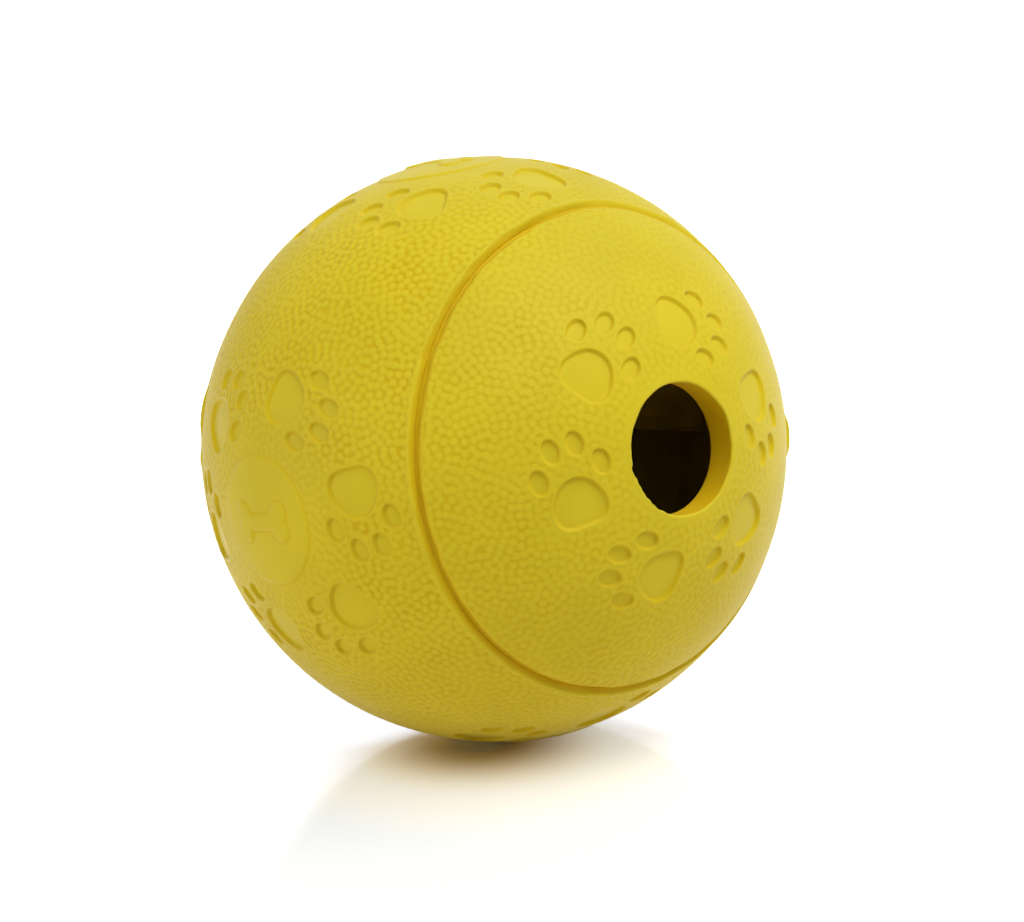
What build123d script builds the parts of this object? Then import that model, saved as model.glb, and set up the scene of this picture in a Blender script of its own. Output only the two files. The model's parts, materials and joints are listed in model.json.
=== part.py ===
from build123d import *
import os
from math import asin, cos, degrees, radians, sin, sqrt

# A treat ball of natural rubber. A front cap with the treat hole, a middle band and a rear cap are bonded at
# two stepped seams, around an inner wall that holds the treats back. Sizes are in millimetres, angles in degrees.
# The origin is the ball's centre, +Z is up from the floor, and the treat hole looks along +X, a little upwards.

# The ball
BALL_DIAMETER = 90.0
WALL = 4.8
HOLE_RISE = 10.0  # how far the treat hole looks above level
SIDE_DROP = 2.5  # how far the disc on the left dips below level

# The treat hole
HOLE_DIAMETER = 19.4
HOLE_OUTER_ROUNDING = 0.5
HOLE_INNER_ROUNDING = 0.4

# The seams: an open groove outside, with a bonded step under it
SEAM_ANGLE = 53.5  # from the ball's axis to the bottom of the groove
GROOVE_DEPTH = 0.9
GROOVE_RAMP = 1.6  # width of the groove's gentle side, on the cap
GROOVE_BANK = 0.7  # width of the groove's steep side, on the band
LIP_WIDTH = 0.6
LIP_RISE = 0.16
STEP_HEIGHT = 1.6
STEP_WIDTH = 2.0
SPIGOT_FLAT = 0.6
CEMENT = 0.1  # film of rubber cement in each bonded joint

# The inner wall, a flat plate across the ball
INNER_WALL_THICKNESS = 5.0
INNER_WALL_FORWARD = 1.5  # it stands this far from the ball's middle, towards the hole
INNER_WALL_EDGE = 4.0  # its straight edge runs this far from the ball's axis
INNER_WALL_TURN = 15.4  # its middle leans this far from the top disc towards the right
INNER_WALL_ROUNDING = 0.8
SLOT_DEPTH = 1.4

# The smooth discs, and the bone that stands on each
DISC_DIAMETER = 19.6
DISC_RISE = 0.15
BONE_LENGTH = 12.0
BONE_SHANK = 2.6
BONE_KNUCKLE = 3.6
BONE_RISE = 0.3

# The paw prints, six to a ring, walking clockwise
PAWS_PER_RING = 6
PAW_RING_ANGLE = 24.5  # from the ring's axis to the middle of a paw
PAW_PHASE = 3.2  # turn of the first paw from the ring's reference direction
PAW_TURN = 4.0  # how far its walk turns away from the ring's axis
PAW_DEPTH = 0.5
PAD_SETBACK = 2.4  # from the middle of the paw back to the middle of its pad
PAD_CROWN_RADIUS = 3.5
PAD_CROWN_FORWARD = 0.25
PAD_LOBE_RADIUS = 2.2
PAD_LOBE_SIDE = 1.85
PAD_LOBE_BACK = 1.4
PAD_NOTCH_RADIUS = 1.2
PAD_NOTCH_DEPTH = 0.3
OUTER_TOE_WIDTH = 2.85
OUTER_TOE_LENGTH = 3.9
OUTER_TOE_SIDE = 4.85
OUTER_TOE_FORWARD = 2.15
INNER_TOE_WIDTH = 2.8
INNER_TOE_LENGTH = 3.8
INNER_TOE_SIDE = 1.9
INNER_TOE_FORWARD = 5.85

os.makedirs("parts", exist_ok=True)

outer_radius = BALL_DIAMETER / 2
inner_radius = outer_radius - WALL
hole_radius = HOLE_DIAMETER / 2

# The ball's own frame: z along the hole's axis, y towards the top disc, x towards the right disc.
hole_direction = Vector(cos(radians(HOLE_RISE)), 0, sin(radians(HOLE_RISE)))
ball_axis = Axis((0, 0, 0), hole_direction)
ball = Plane(ball_axis.position, x_dir=Vector(0, 1, 0).rotate(ball_axis, SIDE_DROP), z_dir=hole_direction)
front_section = Plane(ball.origin, x_dir=ball.x_dir, z_dir=-ball.y_dir)
rear_section = Plane(ball.origin, x_dir=ball.x_dir, z_dir=ball.y_dir)


def on_section(radius, angle):
    """Point of a section at a radius, turned by an angle from the ball's axis."""
    return radius * sin(radians(angle)), radius * cos(radians(angle))


def height_at(radius, reach):
    """Height of a sphere above its middle plane, at a reach from its axis."""
    return sqrt(radius**2 - reach**2)


def arc_angle(width):
    """Angle that a width takes up on the ball's skin."""
    return degrees(width / outer_radius)


# The seam's corners, shared by the caps and the band
ramp_angle = SEAM_ANGLE - arc_angle(GROOVE_RAMP)
lip_angle = SEAM_ANGLE + arc_angle(GROOVE_BANK)
skin_angle = lip_angle + arc_angle(LIP_WIDTH)
flange_radius, flange_top = on_section(outer_radius - GROOVE_DEPTH, SEAM_ANGLE)
flange_foot = flange_top - STEP_HEIGHT
spigot_radius = flange_radius - STEP_WIDTH
spigot_foot = height_at(inner_radius, spigot_radius - SPIGOT_FLAT)
cap_rim = [
    on_section(outer_radius, ramp_angle),
    (flange_radius, flange_top),
    (flange_radius, flange_foot),
    (spigot_radius, flange_foot),
    (spigot_radius, spigot_foot),
    (spigot_radius - SPIGOT_FLAT, spigot_foot),
]
cap_rim_angle = degrees(asin((spigot_radius - SPIGOT_FLAT) / inner_radius))
mouth_radius = spigot_radius + CEMENT
mouth_angle = degrees(asin(mouth_radius / inner_radius))
band_rim = [
    on_section(outer_radius, skin_angle),
    on_section(outer_radius + LIP_RISE, lip_angle),
    (flange_radius + CEMENT, flange_top),
    (flange_radius + CEMENT, flange_foot - CEMENT),
    (mouth_radius, flange_foot - CEMENT),
    (mouth_radius, height_at(inner_radius, mouth_radius)),
]


def paw_planes(axis, reference):
    """Planes of one ring of paws on the skin, with y along the walk and x about towards the ring's axis."""
    planes = []
    for paw in range(PAWS_PER_RING):
        turn = PAW_PHASE + paw * 360 / PAWS_PER_RING
        sideways = reference.rotate(Axis((0, 0, 0), axis), turn)
        outward = axis * cos(radians(PAW_RING_ANGLE)) + sideways * sin(radians(PAW_RING_ANGLE))
        inward = axis - outward * cos(radians(PAW_RING_ANGLE))
        across = inward.rotate(Axis((0, 0, 0), outward), PAW_TURN)
        planes.append(Plane(outward * outer_radius, x_dir=across, z_dir=outward))
    return planes


def disc_plane(axis, reference):
    """Plane half-way through the wall under a disc, with x along the bone."""
    return Plane(axis * (outer_radius - WALL / 2), x_dir=reference, z_dir=axis)


# One paw print, laid flat: the pad with its two lobes, and four toes
pad_notch_back = PAD_SETBACK + PAD_LOBE_BACK + PAD_LOBE_RADIUS + PAD_NOTCH_RADIUS - PAD_NOTCH_DEPTH
with BuildSketch() as paw_print:
    with Locations((0, PAD_CROWN_FORWARD - PAD_SETBACK)):
        Circle(PAD_CROWN_RADIUS)
    with Locations((0, -PAD_LOBE_BACK - PAD_SETBACK)):
        with GridLocations(2 * PAD_LOBE_SIDE, 0, 2, 1):
            Circle(PAD_LOBE_RADIUS)
    make_hull()
    with Locations((0, -pad_notch_back)):
        Circle(PAD_NOTCH_RADIUS, mode=Mode.SUBTRACT)
    with Locations((-OUTER_TOE_SIDE, OUTER_TOE_FORWARD), (OUTER_TOE_SIDE, OUTER_TOE_FORWARD)):
        Ellipse(OUTER_TOE_WIDTH / 2, OUTER_TOE_LENGTH / 2)
    with Locations((-INNER_TOE_SIDE, INNER_TOE_FORWARD), (INNER_TOE_SIDE, INNER_TOE_FORWARD)):
        Ellipse(INNER_TOE_WIDTH / 2, INNER_TOE_LENGTH / 2)

# One disc and one bone, laid flat: the bone is a shank between two pairs of knuckles
with BuildSketch() as disc:
    Circle(DISC_DIAMETER / 2)
knuckle_spacing = BONE_LENGTH - BONE_KNUCKLE
with BuildSketch() as bone:
    Rectangle(knuckle_spacing, BONE_SHANK)
    with GridLocations(knuckle_spacing, BONE_SHANK, 2, 2):
        Circle(BONE_KNUCKLE / 2)

paw_reach = INNER_TOE_FORWARD + INNER_TOE_LENGTH / 2
paw_cut = outer_radius - height_at(outer_radius, paw_reach) + 2 * PAW_DEPTH


def paw_cutter(planes):
    """Straight prisms for a set of paws that stop at a sphere, so that each floor follows the skin."""
    with BuildPart() as cutter:
        with BuildSketch(*planes):
            add(paw_print.sketch)
        extrude(amount=paw_cut, both=True)
        Sphere(outer_radius - PAW_DEPTH, mode=Mode.SUBTRACT)
    return cutter.part


def relief(outline, planes, rise):
    """An outline that stands a little above the skin, rooted half-way through the wall."""
    with BuildPart() as raised:
        with BuildSketch(*planes):
            add(outline)
        extrude(amount=WALL)
        Sphere(outer_radius + rise, mode=Mode.INTERSECT)
    return raised.part


side_axes = [ball.x_dir, -ball.x_dir, ball.y_dir, -ball.y_dir]
side_paw_planes = [plane for axis in side_axes for plane in paw_planes(axis, ball.z_dir)]
side_disc_planes = [disc_plane(axis, ball.z_dir) for axis in side_axes]
rear_disc_planes = [disc_plane(-ball.z_dir, ball.x_dir)]
front_paws = paw_cutter(paw_planes(ball.z_dir, ball.x_dir))
side_paws = paw_cutter(side_paw_planes)
rear_paws = paw_cutter(paw_planes(-ball.z_dir, ball.x_dir))
side_discs = relief(disc.sketch, side_disc_planes, DISC_RISE)
side_bones = relief(bone.sketch, side_disc_planes, DISC_RISE + BONE_RISE)
rear_disc = relief(disc.sketch, rear_disc_planes, DISC_RISE)
rear_bone = relief(bone.sketch, rear_disc_planes, DISC_RISE + BONE_RISE)

# Front cap: the dome round the treat hole
hole_inner_height = height_at(inner_radius, hole_radius)
hole_outer_height = height_at(outer_radius, hole_radius)
hole_inner_angle = degrees(asin(hole_radius / inner_radius))
hole_outer_angle = degrees(asin(hole_radius / outer_radius))
with BuildPart() as front_cap:
    with BuildSketch(front_section) as front_profile:
        with BuildLine():
            Line((hole_radius, hole_inner_height), (hole_radius, hole_outer_height))
            CenterArc((0, 0), outer_radius, 90 - ramp_angle, ramp_angle - hole_outer_angle)
            Polyline(*cap_rim)
            CenterArc((0, 0), inner_radius, 90 - cap_rim_angle, cap_rim_angle - hole_inner_angle)
        make_face()
        outer_rim = front_profile.vertices().group_by(Axis.X)[0].sort_by(Axis.Y)[-1]
        fillet(outer_rim, HOLE_OUTER_ROUNDING)
        inner_rim = front_profile.vertices().group_by(Axis.X)[0].sort_by(Axis.Y)[0]
        fillet(inner_rim, HOLE_INNER_ROUNDING)
    revolve(axis=ball_axis)
    add(front_paws, mode=Mode.SUBTRACT)
front_cap.part.label = "front_cap"
export_step(front_cap.part, "parts/front_cap.step")

# Rear cap: the same dome without a hole, with a disc at its pole
with BuildPart() as rear_cap:
    with BuildSketch(rear_section):
        with BuildLine():
            Line((0, inner_radius), (0, outer_radius))
            CenterArc((0, 0), outer_radius, 90 - ramp_angle, ramp_angle)
            Polyline(*cap_rim)
            CenterArc((0, 0), inner_radius, 90 - cap_rim_angle, cap_rim_angle)
        make_face()
    revolve(axis=ball_axis)
    add(rear_disc)
    add(rear_bone)
    add(rear_paws, mode=Mode.SUBTRACT)
rear_cap.part.label = "rear_cap"
export_step(rear_cap.part, "parts/rear_cap.step")

# Inner wall: a flat plate across the ball, open below its straight edge
inner_wall_along = ball.x_dir.rotate(ball_axis, -INNER_WALL_TURN)
inner_wall_middle = Plane(ball.z_dir * INNER_WALL_FORWARD, x_dir=inner_wall_along, z_dir=ball.z_dir)
inner_wall_radius = inner_radius + SLOT_DEPTH - CEMENT
with BuildPart() as inner_wall:
    with BuildSketch(inner_wall_middle.offset(-INNER_WALL_THICKNESS / 2)):
        Circle(inner_wall_radius)
        with Locations((0, INNER_WALL_EDGE - inner_wall_radius)):
            Rectangle(2 * inner_wall_radius, 2 * inner_wall_radius, mode=Mode.SUBTRACT)
    extrude(amount=INNER_WALL_THICKNESS)
    straight_edges = inner_wall.edges().filter_by(Axis((0, 0, 0), inner_wall_along))
    fillet(straight_edges, INNER_WALL_ROUNDING)
inner_wall.part.label = "inner_wall"
export_step(inner_wall.part, "parts/inner_wall.step")

# Middle band: the ring between the seams, with a slot for the inner wall
slot_thickness = INNER_WALL_THICKNESS + 2 * CEMENT
slot_radius = inner_radius + SLOT_DEPTH
with BuildPart() as middle_band:
    with BuildSketch(front_section):
        with BuildLine():
            CenterArc((0, 0), outer_radius, 0, 90 - skin_angle)
            Polyline(*band_rim)
            CenterArc((0, 0), inner_radius, 0, 90 - mouth_angle)
            mirror(about=Plane.XZ)
        make_face()
    revolve(axis=ball_axis)
    add(side_discs)
    add(side_bones)
    add(side_paws, mode=Mode.SUBTRACT)
    with BuildSketch(inner_wall_middle.offset(-slot_thickness / 2)):
        Circle(slot_radius)
        with Locations((0, INNER_WALL_EDGE - CEMENT - slot_radius)):
            Rectangle(2 * slot_radius, 2 * slot_radius, mode=Mode.SUBTRACT)
    extrude(amount=slot_thickness, mode=Mode.SUBTRACT)
middle_band.part.label = "middle_band"
export_step(middle_band.part, "parts/middle_band.step")
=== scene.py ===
# %% [markdown]
# # A treat ball of yellow rubber
#
# The real thing is a hollow rubber ball for a dog. Treats go in at a round hole, an inner wall holds them
# back, and they fall out as the ball rolls. It is moulded in pieces that are bonded along two round seams.
# A plain sphere with a bump map would give the same outline, but the seams, the paw prints and the pebbled
# skin would fall flat at the edge of the ball. So the skin is built here as real geometry, ring by ring, and
# the materials add what is too fine for a mesh, and painted shade and bounce light in its furrows, creases,
# hole and inside.

# %% Load the solids
import json
from math import asin, atan2, cos, pi, radians, sin, sqrt, tau

import bpy
import numpy as np
from mathutils import Matrix, Vector, kdtree


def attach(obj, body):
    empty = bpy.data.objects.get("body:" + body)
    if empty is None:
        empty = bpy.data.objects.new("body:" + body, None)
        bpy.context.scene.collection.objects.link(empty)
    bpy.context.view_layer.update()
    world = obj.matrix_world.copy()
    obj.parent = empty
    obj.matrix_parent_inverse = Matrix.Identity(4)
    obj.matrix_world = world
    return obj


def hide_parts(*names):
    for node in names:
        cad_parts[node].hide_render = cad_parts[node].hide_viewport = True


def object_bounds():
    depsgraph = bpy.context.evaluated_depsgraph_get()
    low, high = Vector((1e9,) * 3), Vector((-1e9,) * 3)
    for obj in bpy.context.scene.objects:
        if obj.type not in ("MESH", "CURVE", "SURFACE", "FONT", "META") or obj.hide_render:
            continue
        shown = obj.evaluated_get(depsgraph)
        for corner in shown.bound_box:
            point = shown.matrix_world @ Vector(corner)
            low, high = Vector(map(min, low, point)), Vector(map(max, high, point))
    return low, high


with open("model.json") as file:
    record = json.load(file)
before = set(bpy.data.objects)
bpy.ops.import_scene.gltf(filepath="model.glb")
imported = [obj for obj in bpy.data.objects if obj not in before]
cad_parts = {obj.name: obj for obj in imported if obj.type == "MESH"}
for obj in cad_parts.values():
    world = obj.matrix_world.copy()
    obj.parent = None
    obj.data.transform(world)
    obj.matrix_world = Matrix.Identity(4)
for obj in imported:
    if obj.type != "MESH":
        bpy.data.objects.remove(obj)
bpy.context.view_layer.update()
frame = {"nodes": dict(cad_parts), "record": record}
print("solids:", sorted(frame["nodes"]))

# %% [markdown]
# ## The ball's own directions
#
# The ball lies on the floor with its hole to one side and tipped up a little, so its own axes aren't the
# floor's. Every shape below is simpler in the ball's own axes: x to the disc on the right, y to the disc on
# top and z out of the treat hole. The hole's direction and size and the ball's radius are read from the
# solids' record, so the skin lies where they do. Sizes are in millimetres until a mesh is made.

# %% Read the ball's axes and size
MM = 0.001
SIDE_DROP = radians(2.5)  # how far the disc on the left dips below level
mounts = {mount["name"]: mount for mount in frame["record"]["mounts"]}
hole_axis = Vector(mounts["treat_hole"]["axis"]).normalized()
right_axis = Matrix.Rotation(SIDE_DROP, 3, hole_axis) @ Vector((0, 1, 0))
top_axis = hole_axis.cross(right_axis)
ball_axes = np.array([right_axis, top_axis, hole_axis])
BALL_RADIUS = -mounts["floor_contact"]["pos_m"][2] / MM
HOLE_RADIUS = mounts["treat_hole"]["dims"]["r_mm"]
WALL = 4.8  # thickness of the rubber
INNER_RADIUS = BALL_RADIUS - WALL
print(f"ball {2 * BALL_RADIUS:.1f} mm across, hole {2 * HOLE_RADIUS:.1f} mm")

# %% [markdown]
# ## The camera
#
# The photograph shows the ball from the side of its hole, a little from above and from far off, so its
# outline is nearly a true circle. The camera looks straight at the ball's middle, and the ball is moved to
# its place in the picture by shifting the lens, because turning the camera would stretch the outline.

# %% Set up the camera
PHOTO_WIDTH = 1024
PHOTO_HEIGHT = 922
OUTLINE_X = 494.5  # middle and radius of the ball's outline, in pixels
OUTLINE_Y = 449.2
OUTLINE_RADIUS = 292.3
VIEW_AZIMUTH = radians(50.8)
VIEW_ELEVATION = radians(14.75)
VIEW_ROLL = radians(2.58)
VIEW_DISTANCE = 13  # in ball radii

to_camera = Vector((
    sin(VIEW_AZIMUTH) * cos(VIEW_ELEVATION),
    -cos(VIEW_AZIMUTH) * cos(VIEW_ELEVATION),
    sin(VIEW_ELEVATION),
))
level_right = Vector((cos(VIEW_AZIMUTH), sin(VIEW_AZIMUTH), 0))
view_right = Matrix.Rotation(-VIEW_ROLL, 3, to_camera) @ level_right
view_up = to_camera.cross(view_right)

camera_data = bpy.data.cameras.new("camera")
camera = bpy.data.objects.new("camera", camera_data)
bpy.context.scene.collection.objects.link(camera)
bpy.context.scene.camera = camera
turn = Matrix((view_right, view_up, to_camera)).transposed()
camera.matrix_world = Matrix.Translation(to_camera * VIEW_DISTANCE * BALL_RADIUS * MM) @ turn.to_4x4()
focal_pixels = OUTLINE_RADIUS * sqrt(VIEW_DISTANCE**2 - 1)
camera_data.lens = focal_pixels * camera_data.sensor_width / PHOTO_WIDTH
camera_data.shift_x = (PHOTO_WIDTH / 2 - OUTLINE_X) / PHOTO_WIDTH
camera_data.shift_y = (OUTLINE_Y - PHOTO_HEIGHT / 2) / PHOTO_WIDTH
print(f"lens {camera_data.lens:.1f} mm, shift {camera_data.shift_x:.4f} {camera_data.shift_y:.4f}")

# %% [markdown]
# ## Small tools for shapes
#
# Three helpers do most of the shaping. A soft step goes from 0 to 1 between two places. A ripple is a sum of
# waves in random directions, and gives smooth unevenness without any texture file; each one has a seed of
# its own, so it comes out the same on every run. A soft joint blends two outlines where they meet.

# %% Define the shape helpers
RIPPLE_WAVES = 28
RIPPLE_RATES = (0.7, 1.4)  # of the slowest and the fastest wave in a ripple


def soft_step(start, end, value):
    """0 before start and 1 after end, with no corner at either."""
    share = np.clip((value - start) / (end - start), 0, 1)
    return share * share * (3 - 2 * share)


def ripple(points, wavelength, seed):
    """Smooth random unevenness, about -1 to 1, with bumps about half a wavelength across."""
    rng = np.random.default_rng(seed)
    headings = rng.normal(size=(RIPPLE_WAVES, 3))
    headings /= np.linalg.norm(headings, axis=1, keepdims=True)
    rates = tau / wavelength * rng.uniform(*RIPPLE_RATES, RIPPLE_WAVES)
    starts = rng.uniform(0, tau, RIPPLE_WAVES)
    total = np.zeros(points.shape[:-1])
    for heading, rate, start in zip(headings, rates, starts):
        total += np.cos(points @ (heading * rate) + start)
    return total * sqrt(1 / RIPPLE_WAVES)


def soft_joint(first, second, width):
    """The nearer of two distances, rounded where they meet."""
    overlap = np.clip(width - np.abs(first - second), 0, None) / width
    return np.minimum(first, second) - overlap * overlap * width / 4


# %% [markdown]
# ## The paw prints
#
# Six rings of six paw prints are pressed into the ball: one round the hole, one opposite it and one round
# each of the band's four discs, all walking clockwise. A print could be cut with a boolean, but that leaves
# razor edges and broken faces on a fine mesh. Here each point of the skin asks how far it lies from the edge
# of the nearest print, and sinks if it lies inside, which gives soft moulded walls and a raised rim.

# %% Place the paw prints
PAWS_PER_RING = 6
PAW_RING_ANGLE = radians(24.5)
PAW_PHASE = radians(3.2)
PAW_TURN = radians(4)  # how far a print's walk turns away from the ring's middle
X, Y, Z = np.eye(3)
ring_axes = [(Z, X), (-Z, X), (X, Z), (-X, Z), (Y, Z), (-Y, Z)]


def paw_frames(axis, reference):
    """For each print of a ring: out of the skin, about towards the ring's middle, and along the walk."""
    for paw in range(PAWS_PER_RING):
        turned = PAW_PHASE + paw * tau / PAWS_PER_RING
        sideways = reference * cos(turned) + np.cross(axis, reference) * sin(turned)
        outward = axis * cos(PAW_RING_ANGLE) + sideways * sin(PAW_RING_ANGLE)
        inward = axis * sin(PAW_RING_ANGLE) - sideways * cos(PAW_RING_ANGLE)
        across = inward * cos(PAW_TURN) + np.cross(outward, inward) * sin(PAW_TURN)
        yield outward, across, np.cross(outward, across)


print(len(ring_axes) * PAWS_PER_RING, "paw prints")

# %% [markdown]
# A print is one broad pad with two pairs of oval toes in front of it. The pad is a round crown and two lobes
# that run into each other. Both halves of a print are alike, so a toe is measured from the middle line.

# %% Measure the distance to the paw prints
PAW_REACH = 9.5  # nothing of a print lies further than this from its middle
PAD_SETBACK = 2.4
PAD_CROWN = (0.25, 3.5)  # place along the walk from the pad's middle, and radius
PAD_LOBE = (-1.4, 2.2)
PAD_LOBE_SIDE = 1.85
PAD_LOBE_BLEND = 2.0
PAD_CROWN_BLEND = 1.8
OUTER_TOE = (4.85, 2.15, 2.85, 3.9)  # to the side, forward, width, length
INNER_TOE = (1.9, 5.85, 2.8, 3.8)
SMALLEST = 1e-6  # keeps a division from failing at 0


def toe_distance(side, forward, toe):
    """Distance to the edge of a pair of oval toes, below 0 inside them."""
    toe_side, toe_forward, width, length = toe
    across = (np.abs(side) - toe_side) / (width / 2)
    along = (forward - toe_forward) / (length / 2)
    reach = np.hypot(across, along)
    slope = np.hypot(across / (width / 2), along / (length / 2))
    return reach * (reach - 1) / np.maximum(slope, SMALLEST)


def paw_distance(side, forward):
    """Distance to the edge of one print, below 0 inside it."""
    pad_forward = forward + PAD_SETBACK
    crown = np.hypot(side, pad_forward - PAD_CROWN[0]) - PAD_CROWN[1]
    left = np.hypot(side + PAD_LOBE_SIDE, pad_forward - PAD_LOBE[0]) - PAD_LOBE[1]
    right = np.hypot(side - PAD_LOBE_SIDE, pad_forward - PAD_LOBE[0]) - PAD_LOBE[1]
    pad = soft_joint(crown, soft_joint(left, right, PAD_LOBE_BLEND), PAD_CROWN_BLEND)
    toes = np.minimum(toe_distance(side, forward, OUTER_TOE), toe_distance(side, forward, INNER_TOE))
    return np.minimum(pad, toes)


def nearest_paw(outward):
    """Distance from each point of the skin to the edge of the nearest print."""
    nearest = np.full(len(outward), PAW_REACH)
    for axis, reference in ring_axes:
        for middle, across, walk in paw_frames(axis, reference):
            close = np.flatnonzero(outward @ middle > cos(PAW_REACH / BALL_RADIUS))
            side = BALL_RADIUS * (outward[close] @ across)
            forward = BALL_RADIUS * (outward[close] @ walk)
            nearest[close] = np.minimum(nearest[close], paw_distance(side, forward))
    return nearest


print(f"a print reaches {INNER_TOE[1] + INNER_TOE[3] / 2:.2f} mm ahead of its middle")

# %% [markdown]
# ## The discs and their bones
#
# Five smooth round discs stand a hair above the grain, one in the middle of each ring but the hole's. Each
# carries a plain raised bone: two pairs of round knuckles on a straight shank. As with the prints, a distance
# to the edge is all that the skin needs.

# %% Measure the distance to the discs and bones
DISC_RADIUS = 9.8
DISC_RISE = 0.21
BONE_LENGTH = 12.0
BONE_SHANK = 2.6
BONE_KNUCKLE = 3.6
BONE_RISE = 0.3
BONE_BLEND = 0.5


def bone_distance(along, across):
    """Distance to the edge of a bone, below 0 inside it."""
    knuckle_along = (BONE_LENGTH - BONE_KNUCKLE) / 2
    past_knuckle = np.abs(along) - knuckle_along
    past_shank = np.abs(across) - BONE_SHANK / 2
    knuckles = np.hypot(past_knuckle, past_shank) - BONE_KNUCKLE / 2
    return soft_joint(knuckles, np.maximum(past_knuckle, past_shank), BONE_BLEND)


def nearest_disc(outward):
    """Distances from each point of the skin to the edge of the nearest disc, and of its bone."""
    disc = np.full(len(outward), BALL_RADIUS)
    bone = np.full(len(outward), BALL_RADIUS)
    for axis, reference in ring_axes[1:]:
        close = np.flatnonzero(outward @ axis > cos(PAW_RING_ANGLE))
        along = BALL_RADIUS * (outward[close] @ reference)
        across = BALL_RADIUS * (outward[close] @ np.cross(axis, reference))
        disc[close] = np.hypot(along, across) - DISC_RADIUS
        bone[close] = bone_distance(along, across)
    return disc, bone


print(len(ring_axes) - 1, "discs")

# %% [markdown]
# ## The pebbled grain
#
# The skin is covered with low round pebbles that touch along thin furrows, like the grain of a leather ball.
# A cell texture could draw them, but the furrows have to cast real shade and break up the outline. So seeds
# are spread over the ball and pushed apart until they lie evenly but not in rows. Each seed carries a dome,
# and the skin follows the highest dome at each point, blended a little where two domes meet.

# %% Spread the pebble seeds
PEBBLE_SPACING = 1.36
PEBBLE_JITTER = 0.42  # random move of a seed, as a share of the spacing
PEBBLE_ROUNDS = 12
PEBBLE_PUSH = 0.16
PEBBLE_ROOM = 1.25  # seeds closer than this many spacings push each other away
PEBBLE_NEIGHBOURS = 6
PEBBLE_SEED = 11
GOLDEN_TURN = pi * (3 - sqrt(5))  # keeps the turns of a spiral from lining up
rng = np.random.default_rng(PEBBLE_SEED)
pebble_count = int(4 * pi * BALL_RADIUS**2 / (sqrt(3) / 2 * PEBBLE_SPACING**2))
place = (np.arange(pebble_count) + 0.5) / pebble_count
seed_turn = np.arange(pebble_count) * GOLDEN_TURN
seed_level = 1 - 2 * place
seed_reach = np.sqrt(1 - seed_level**2)
spiral = [seed_reach * np.cos(seed_turn), seed_reach * np.sin(seed_turn), seed_level]
seeds = BALL_RADIUS * np.stack(spiral, 1)
seeds += rng.normal(0, PEBBLE_JITTER * PEBBLE_SPACING, seeds.shape)


def on_ball(points):
    """The points moved to the ball's skin along their radius."""
    return BALL_RADIUS * points / np.linalg.norm(points, axis=1, keepdims=True)


def seed_tree(points):
    """A search tree that finds the seeds nearest to a point."""
    tree = kdtree.KDTree(len(points))
    for index, point in enumerate(points):
        tree.insert(point, index)
    tree.balance()
    return tree


for _ in range(PEBBLE_ROUNDS):
    seeds = on_ball(seeds)
    tree = seed_tree(seeds)
    found = [tree.find_n(seed, PEBBLE_NEIGHBOURS + 1)[1:] for seed in seeds]
    near = np.array([[index for _, index, _ in neighbours] for neighbours in found])
    apart = seeds[:, None] - seeds[near]
    gap = np.linalg.norm(apart, axis=2, keepdims=True)
    push = np.clip(PEBBLE_ROOM * PEBBLE_SPACING - gap, 0, None) * apart / np.maximum(gap, SMALLEST)
    seeds = seeds + PEBBLE_PUSH * push.sum(1)
seeds = on_ball(seeds)
tree = seed_tree(seeds)
print(pebble_count, "pebbles")

# %% [markdown]
# A point's pebble falls off with the square of the distance from its seed. The blend of the nearest few domes
# keeps the furrows from being knife cuts, and a power makes the tops flat and the furrows thin.

# %% Raise the pebbles
PEBBLE_HEIGHT = 0.047
PEBBLE_SUNK = 0.65  # share of a pebble's height that lies below the sphere
FURROW_SHARPNESS = 9.0
FURROW_LIMIT = 1.2  # how deep a furrow may get where three pebbles meet
DOMES_BLENDED = 4
PEBBLE_ROUNDNESS = 2.2  # above 1 the tops are flatter and the furrows thinner
furrow_level = PEBBLE_SPACING**2 / 4 - np.log(2) / FURROW_SHARPNESS


def pebble_rise(outward, wanted):
    """Share of a pebble's height at each point, about 0 in a furrow, where wanted; elsewhere 1."""
    rise = np.ones(len(outward))
    chosen = np.flatnonzero(wanted)
    found = [tree.find_n(point, DOMES_BLENDED) for point in BALL_RADIUS * outward[chosen]]
    squares = np.array([[distance for _, _, distance in domes] for domes in found]) ** 2
    blend = np.log(np.exp(-FURROW_SHARPNESS * (squares - squares[:, :1])).sum(1)) / FURROW_SHARPNESS
    from_top = np.clip((squares[:, 0] - blend) / furrow_level, 0, FURROW_LIMIT)
    rise[chosen] = 1 - from_top**PEBBLE_ROUNDNESS
    return rise


# %% [markdown]
# ## The seam's groove and lip
#
# Where a cap is bonded to the band, the mould leaves an open groove: a long ramp on the cap's side, a deepest
# line just before the joint and a steeper bank on the band's side. A low lip follows on the band. It is what
# is left of the mould's own joint, so its outer edge is ragged, and in a few places a thin flash stands on
# it. A section swept round the ball would be quicker, but it couldn't wander and fray like this. So the seam
# is a height too, worked out from the distance past the joint.

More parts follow.
